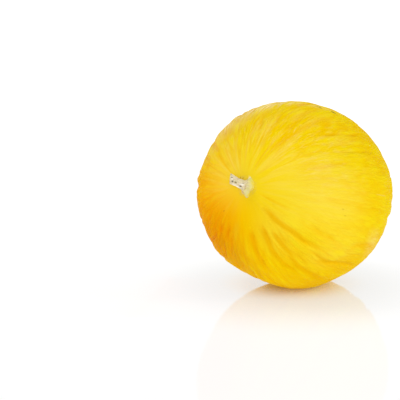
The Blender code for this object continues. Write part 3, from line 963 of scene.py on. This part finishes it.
# Colour, how strong, from where to where in degrees, half width in mm, soft edge, raggedness
RIND_MARKS = (
    (DULL, 0.45, (16, 139), (22, 140.5), 2.2, 1.0, 0.8),
    (DULL, 0.35, (14, 159), (25, 161), 2.0, 1.0, 0.8),
    (DULL, 0.35, (30, 132), (33, 129), 2.0, 1.0, 0.8),
    (DULL, 0.30, (14, 126), (22, 122), 2.4, 1.0, 0.8),
    (DULL, 0.35, (20, 113), (24, 112), 2.0, 1.0, 0.8),
    (DULL, 0.35, (19, -25), (21, -28), 2.0, 1.0, 0.8),
    (DULL, 0.50, (91, 18), (94, 17), 2.4, 1.0, 0.9),
    (DULL, 0.45, (20, -101), (34, -105), 4.5, 1.0, 0.6),
    (CHALK, 0.55, (17.2, 65.9), (31.1, 63.7), 0.5, 0.9, 0.5),
    (CHALK, 0.55, (81, 4.6), (95, 4.4), 0.9, 1.0, 0.9),
    (CHALK, 0.35, (40, 29), (50, 28), 0.7, 1.0, 0.9),
    (CHALK, 0.35, (42, 61.5), (48, 65), 0.7, 1.0, 0.9),
    (BROWN, 0.75, (20.6, -131.9), (21.4, -131.9), 0.6, 0.7, 0.6),
    (BROWN, 0.35, (58, -8), (59, -8), 0.9, 0.9, 0.8),
    (BROWN, 0.30, (60, -12), (62, -12), 0.7, 0.9, 0.8),
    # Painted shade round the foot of the stem and beside its spurs
    (FOOT_SHADE_OLIVE, 0.35, (1.0, 0), (1.6, 0), 9.0, 0.45, 0.9),
    (FOOT_SHADE_OLIVE, 0.45, (6.1, 133), (6.0, 100), 1.5, 0.9, 0.7),
    (FOOT_SHADE_OLIVE, 0.55, (5.0, -128), (5.4, -105), 1.2, 0.9, 0.9),
    (IVORY, 0.50, (6.1, 74), (6.2, 68), 1.0, 0.8, 0.8),
    # Painted shadow of the stem in the notch beside its foot
    (BROWN, 0.60, (5.7, 130), (6.2, 125), 0.7, 0.8, 0.9),
    (BROWN, 0.60, (4.7, 117), (5.1, 109), 0.7, 0.8, 0.9),
    (SCAR, 0.70, (77.5, 76.0), (78.5, 71.0), 1.6, 0.8, 0.9),
    (SCAR, 1.00, (80.8, 66.0), (81.4, 63.6), 1.6, 0.6, 0.8),
    (CORK, 0.80, (179, 0), (179, 180), 5.0, 0.6, 0.8),
)
for tint, strength, start, end, half_width, edge, ragged in RIND_MARKS:
    spot = rind_mark(start, end, half_width, edge, ragged)
    colour = tinted(tree, colour, tint, spot, strength)
tree.links.new(colour, shader.inputs["Base Color"])
print("Marks:", len(RIND_MARKS), "- rind nodes:", len(tree.nodes))

# %% [markdown]
# Wax makes the shine soft and a little uneven. It is kept very weak, because white shine
# over so strong a yellow would grey it at the rim. The crinkles and the pores are far
# smaller than a face of the mesh, so a bump carries them.

# %% Shine and fine texture of the rind
wax = cloud(tree, place, scale=60.0, detail=3.0, low=0.3, high=0.7)
roughness = add_node(tree, "ShaderNodeMapRange", {"Value": wax, "To Min": 0.42, "To Max": 0.52})
tree.links.new(roughness.outputs["Result"], shader.inputs["Roughness"])
shader.inputs["Specular IOR Level"].default_value = 0.003
pores = add_node(tree, "ShaderNodeTexNoise", {"Vector": place, "Scale": 700.0, "Detail": 1.0})
creased = both(tree, both(tree, crinkles, off_stem), rough_side)
fine = maths(tree, "ADD", creased, scaled(tree, pores.outputs["Fac"], 0.2))
bump = add_node(tree, "ShaderNodeBump", {"Height": fine, "Strength": 0.5, "Distance": 0.5 * MM})
tree.links.new(bump.outputs["Normal"], shader.inputs["Normal"])
rind.data.materials.append(rind_finish)
print("The rind's finish has", len(tree.nodes), "nodes")

# %% [markdown]
# ## The finish of the stem
#
# The dry stem is cork-like and matte: pale grey-cream on its neck, greenish beige towards
# the foot and yellow-green where it meets the rind, with a brown seam where the foot
# starts. Fibres run along it, and the cut end shows darker pith. Each colour is blended in
# by the share of the stem's length, which a little noise makes uneven.

# %% Colours of the stem
CREAM = (0.65, 0.56, 0.35, 1.0)
ROSE_BEIGE = (0.60, 0.48, 0.34, 1.0)
GREEN_BEIGE = (0.66, 0.59, 0.22, 1.0)
YELLOW_GREEN = (0.68, 0.53, 0.04, 1.0)
SEAM_BROWN = (0.32, 0.21, 0.08, 1.0)
PITH = (0.42, 0.36, 0.25, 1.0)
SEAM_SHARE = 0.36
SEAM_HALF_WIDTH = 0.05

stem_finish, tree, shader = new_material("stem_finish")
grain = add_node(tree, "ShaderNodeAttribute", attribute_name="grain").outputs["Vector"]
cut_end = add_node(tree, "ShaderNodeAttribute", attribute_name="cut_end").outputs["Fac"]
place = add_node(tree, "ShaderNodeTexCoord").outputs["Object"]
share = add_node(tree, "ShaderNodeSeparateXYZ", {"Vector": grain}).outputs["Z"]
mottling = cloud(tree, place, scale=330.0, detail=2.0, low=0.35, high=0.65)
uneven = maths(tree, "ADD", share, scaled(tree, mottling, 0.10))
colour = blend(tree, mapped(tree, uneven, low=0.42, high=0.30), CREAM, GREEN_BEIGE)
colour = blend(tree, mapped(tree, uneven, low=0.22, high=0.04), colour, YELLOW_GREEN)
off_seam = maths(tree, "ABSOLUTE", maths(tree, "SUBTRACT", uneven, SEAM_SHARE))
seam = rest_of(tree, mapped(tree, off_seam, low=0.0, high=SEAM_HALF_WIDTH))
colour = tinted(tree, colour, SEAM_BROWN, seam, strength=0.35)
tints = cloud(tree, place, scale=240.0, detail=2.0, low=0.45, high=0.62)
colour = tinted(tree, colour, ROSE_BEIGE, tints, strength=0.5)
fibres = drawn_out_cloud(tree, grain, 5.0, 4.0, detail=3.0, low=0.45, high=0.7)
colour = tinted(tree, colour, GREEN_BEIGE, fibres, strength=0.45)
colour = tinted(tree, colour, PITH, cut_end, strength=0.6)
print("Stem nodes:", len(tree.nodes))

# %% [markdown]
# The weather has left larger patches on so small a piece: bleached ones, pink-brown ones
# and a little leaf green, and one dark olive patch is painted shade in a hollow. They are
# placed one by one with the same mark as on the rind. Fibres have shrunk and left grey
# pits, four of them large, the rest noise.

# %% Patches of the stem
BONE = (0.90, 0.84, 0.70, 1.0)
LEAF_GREEN = (0.56, 0.56, 0.12, 1.0)
PINK_BROWN = (0.55, 0.36, 0.20, 1.0)
HOLLOW_SHADE_OLIVE = (0.22, 0.17, 0.05, 1.0)

# Colour, how strong, from where to where in mm in the frame of the CAD model, half width in mm
STEM_PATCHES = (
    (BONE, 0.85, (-6.6, -96.3, 99.4), (0.3, -91.6, 94.6), 2.0),
    (BONE, 0.90, (-0.6, -93.4, 98.9), (1.9, -92.2, 98.4), 1.4),
    (BONE, 0.60, (-6.6, -95.9, 103.4), (-5.6, -95.9, 102.6), 1.2),
    (BONE, 0.60, (2.4, -84.3, 103.1), (3.2, -84.6, 102.7), 1.2),
    (PINK_BROWN, 0.60, (2.4, -91.0, 95.3), (3.2, -91.2, 98.0), 0.9),
    (PINK_BROWN, 0.40, (-3.9, -94.4, 103.1), (-2.2, -93.7, 102.4), 0.9),
    (LEAF_GREEN, 0.50, (3.9, -84.9, 102.4), (5.2, -86.0, 100.6), 1.5),
    (LEAF_GREEN, 0.40, (4.9, -89.2, 94.0), (3.4, -89.4, 91.4), 1.4),
    # Painted shade in a hollow of the stem
    (HOLLOW_SHADE_OLIVE, 0.85, (-3.5, -95.6, 100.6), (-2.7, -95.2, 100.1), 1.1),
)

for tint, strength, start, end, half_width in STEM_PATCHES:
    first, last = Vector(start) * MM, Vector(end) * MM
    patch = mark_between(tree, place, first, last, half_width * MM, edge=0.8, ragged=0.7)
    colour = tinted(tree, colour, tint, patch, strength)
print("Patches of the stem:", len(STEM_PATCHES))

# %% Pits and roughness of the stem
PIT_GREY = (0.13, 0.12, 0.09, 1.0)
# Centre of each large pit in mm, and its half width
STEM_PITS = (
    ((-5.3, -96.2, 101.0), 1.0),
    ((-0.2, -93.0, 97.3), 1.2),
    ((-5.8, -95.8, 104.0), 0.7),
    ((1.4, -91.9, 99.6), 0.6),
)

pits = cloud(tree, place, scale=420.0, detail=1.0, low=0.67, high=0.75)
pits = both(tree, pits, mapped(tree, share, low=0.3, high=0.45))
for centre, half_width in STEM_PITS:
    size = half_width * MM
    pit = mark(tree, place, Vector(centre) * MM, (0.0, 0.0, 1.0), size, size, edge=0.7, ragged=0.8)
    pits = maths(tree, "MAXIMUM", pits, pit)
colour = tinted(tree, colour, PIT_GREY, pits, strength=0.9)
tree.links.new(colour, shader.inputs["Base Color"])
shader.inputs["Roughness"].default_value = 0.8
shader.inputs["Specular IOR Level"].default_value = 0.1
sunken = maths(tree, "SUBTRACT", fibres, scaled(tree, pits, 1.5))
bump = add_node(tree, "ShaderNodeBump", {"Height": sunken, "Strength": 0.7, "Distance": 0.5 * MM})
tree.links.new(bump.outputs["Normal"], shader.inputs["Normal"])
stem.data.materials.append(stem_finish)
print("Large pits:", len(STEM_PITS), "- stem nodes:", len(tree.nodes))

# %% [markdown]
# ## The floor
#
# The melon lies on a white glossy sheet that melts into the white behind it. The sheet
# glows by itself, so that it stays white without strong lamps. Near the melon it glows less
# and mirrors more. Right under it the sheet is almost a mirror and hardly glows, which
# makes the dark line of contact. The melon itself is lit by a somewhat brighter glow than
# the camera sees.

# %% A sheet for the stage
def flat_sheet(name, half):
    """A square sheet that is not attached to the melon."""
    bm = bmesh.new()
    bmesh.ops.create_grid(bm, x_segments=1, y_segments=1, size=half)
    mesh = bpy.data.meshes.new(name)
    bm.to_mesh(mesh)
    bm.free()
    sheet = bpy.data.objects.new(name, mesh)
    bpy.context.scene.collection.objects.link(sheet)
    print(name, "is", round(2.0 * half, 2), "m wide")
    return sheet


def grey(value):
    """A grey as a colour."""
    return (value, value, value, 1.0)


# %% Floor
FLOOR_HALF = 8.0
CONTACT_CENTRE = (-4 * MM, 9 * MM, 0.0)
# How far out the dark contact and the mirror image reach, and where they are whole
CONTACT_REACH, CONTACT_WHOLE = 65 * MM, 15 * MM
MIRROR_REACH, MIRROR_WHOLE = 165 * MM, 40 * MM

floor = flat_sheet("floor", FLOOR_HALF)
floor_finish, tree, shader = new_material("floor_finish")
shader.inputs["Roughness"].default_value = 0.07
shader.inputs["Emission Strength"].default_value = 1.0
floor_place = add_node(tree, "ShaderNodeTexCoord").outputs["Object"]
away = vector_maths(tree, "LENGTH", vector_maths(tree, "SUBTRACT", floor_place, CONTACT_CENTRE))
close = mapped(tree, away, CONTACT_REACH, CONTACT_WHOLE)
near = mapped(tree, away, MIRROR_REACH, MIRROR_WHOLE)
tree.links.new(blend(tree, close, grey(0.15), grey(0.9)), shader.inputs["Base Color"])
tree.links.new(scaled(tree, close, 0.8), shader.inputs["Metallic"])
tree.links.new(maths(tree, "ADD", 1.1, scaled(tree, near, 0.4)), shader.inputs["IOR"])
seen_glow = blend(tree, near, grey(0.80), (0.545, 0.555, 0.56, 1.0))
seen_glow = blend(tree, close, seen_glow, grey(0.02))
lighting_glow = blend(tree, close, grey(1.0), (0.25, 0.22, 0.12, 1.0))
to_camera = add_node(tree, "ShaderNodeLightPath").outputs["Is Camera Ray"]
tree.links.new(blend(tree, to_camera, lighting_glow, seen_glow), shader.inputs["Emission Color"])
floor.data.materials.append(floor_finish)

# %% [markdown]
# ## Light
#
# The light is soft and comes from nearly everywhere. Area lamps would fall off over the
# floor and leave bright pools on it, so three suns with very wide discs are used: their
# light is the same all over. They are placed as seen from the camera, so its direction is
# worked out first. The right one models the wrinkles, the other two lift the shadows.

# %% The camera's direction
CAMERA_AZIMUTH = math.radians(28.58)
CAMERA_ELEVATION = math.radians(11.0)

level = Vector((math.sin(CAMERA_AZIMUTH), -math.cos(CAMERA_AZIMUTH), 0.0))
back = math.cos(CAMERA_ELEVATION) * level + Vector((0.0, 0.0, math.sin(CAMERA_ELEVATION)))
right = Vector((math.cos(CAMERA_AZIMUTH), math.sin(CAMERA_AZIMUTH), 0.0))
up = back.cross(right)


def camera_way(sideways, upwards, backwards):
    """A way given as seen from the camera: to the right, up, and towards it."""
    return sideways * right + upwards * up + backwards * back


print("Towards the camera:", [round(value, 3) for value in back])

# %% Three wide suns
# Name, the way to it as seen from the camera, strength, width of the disc in degrees
SUNS = (
    ("sun_right", (0.85, 0.4, 0.35), 0.87, 12.0),
    ("sun_left", (-0.6, 0.78, 0.1), 0.88, 25.0),
    ("sun_front", (-0.1, 0.0, 1.0), 0.9, 35.0),
)

for name, way, strength, disc in SUNS:
    light = bpy.data.lights.new(name, "SUN")
    light.energy = strength
    light.angle = math.radians(disc)
    lamp = bpy.data.objects.new(name, light)
    lamp.rotation_euler = camera_way(*way).to_track_quat("Z", "Y").to_euler()
    bpy.context.scene.collection.objects.link(lamp)
print("Suns:", len(SUNS))

# %% [markdown]
# Warm light from the side deepens the flank under the stem and tints the floor there. An
# orange card close to the flank gives that light. The camera and the mirror image don't see
# the card, and it throws no shadow.

# %% A warm card beside the flank
CARD_HALF = 65 * MM
CARD_PLACE = (-118 * MM, -35 * MM, 30 * MM)
CARD_FACING = (1.0, 0.0, 0.25)

card = flat_sheet("warm_card", CARD_HALF)
card.location = FRUIT_CENTRE + camera_way(*CARD_PLACE)
card.rotation_euler = camera_way(*CARD_FACING).to_track_quat("Z", "Y").to_euler()
card.visible_camera = False
card.visible_glossy = False
card.visible_shadow = False
card_finish, tree, shader = new_material("card_finish")
shader.inputs["Base Color"].default_value = (0.85, 0.30, 0.01, 1.0)
shader.inputs["Roughness"].default_value = 1.0
card.data.materials.append(card_finish)

# %% [markdown]
# A white room fills in everything else. The camera sees it pure white. The rind and the
# floor mirror it a little dimmer, and it lights the melon dimmer still.

# %% The white room
world = bpy.data.worlds.new("white_room")
world.use_nodes = True
tree = world.node_tree
ray = add_node(tree, "ShaderNodeLightPath")
white = blend(tree, ray.outputs["Is Glossy Ray"], grey(0.70), grey(0.9))
white = blend(tree, ray.outputs["Is Camera Ray"], white, grey(1.0))
tree.links.new(white, tree.nodes["Background"].inputs["Color"])
bpy.context.scene.world = world
bpy.context.scene.view_settings.view_transform = "Standard"
print("World:", world.name)

# %% [markdown]
# ## Camera
#
# A long lens from more than a metre away keeps the fruit free of distortion. The camera
# looks along its direction without being aimed at the fruit, and is moved sideways until
# the fruit stands right of the middle.

# %% Camera
CAMERA_DISTANCE = 1.2
CAMERA_SIDE = -77 * MM
CAMERA_RISE = -4.5 * MM
SENSOR_WIDTH = 36.0
FOCAL_LENGTH = 133.8

camera_data = bpy.data.cameras.new("camera")
camera_data.sensor_width = SENSOR_WIDTH
camera_data.lens = FOCAL_LENGTH
camera = bpy.data.objects.new("camera", camera_data)
camera.location = FRUIT_CENTRE + camera_way(CAMERA_SIDE, CAMERA_RISE, CAMERA_DISTANCE)
camera.rotation_mode = "QUATERNION"
camera.rotation_quaternion = Matrix((right, up, back)).transposed().to_quaternion()
bpy.context.scene.collection.objects.link(camera)
bpy.context.scene.camera = camera
print("Field of view in degrees:", round(math.degrees(camera_data.angle), 1))
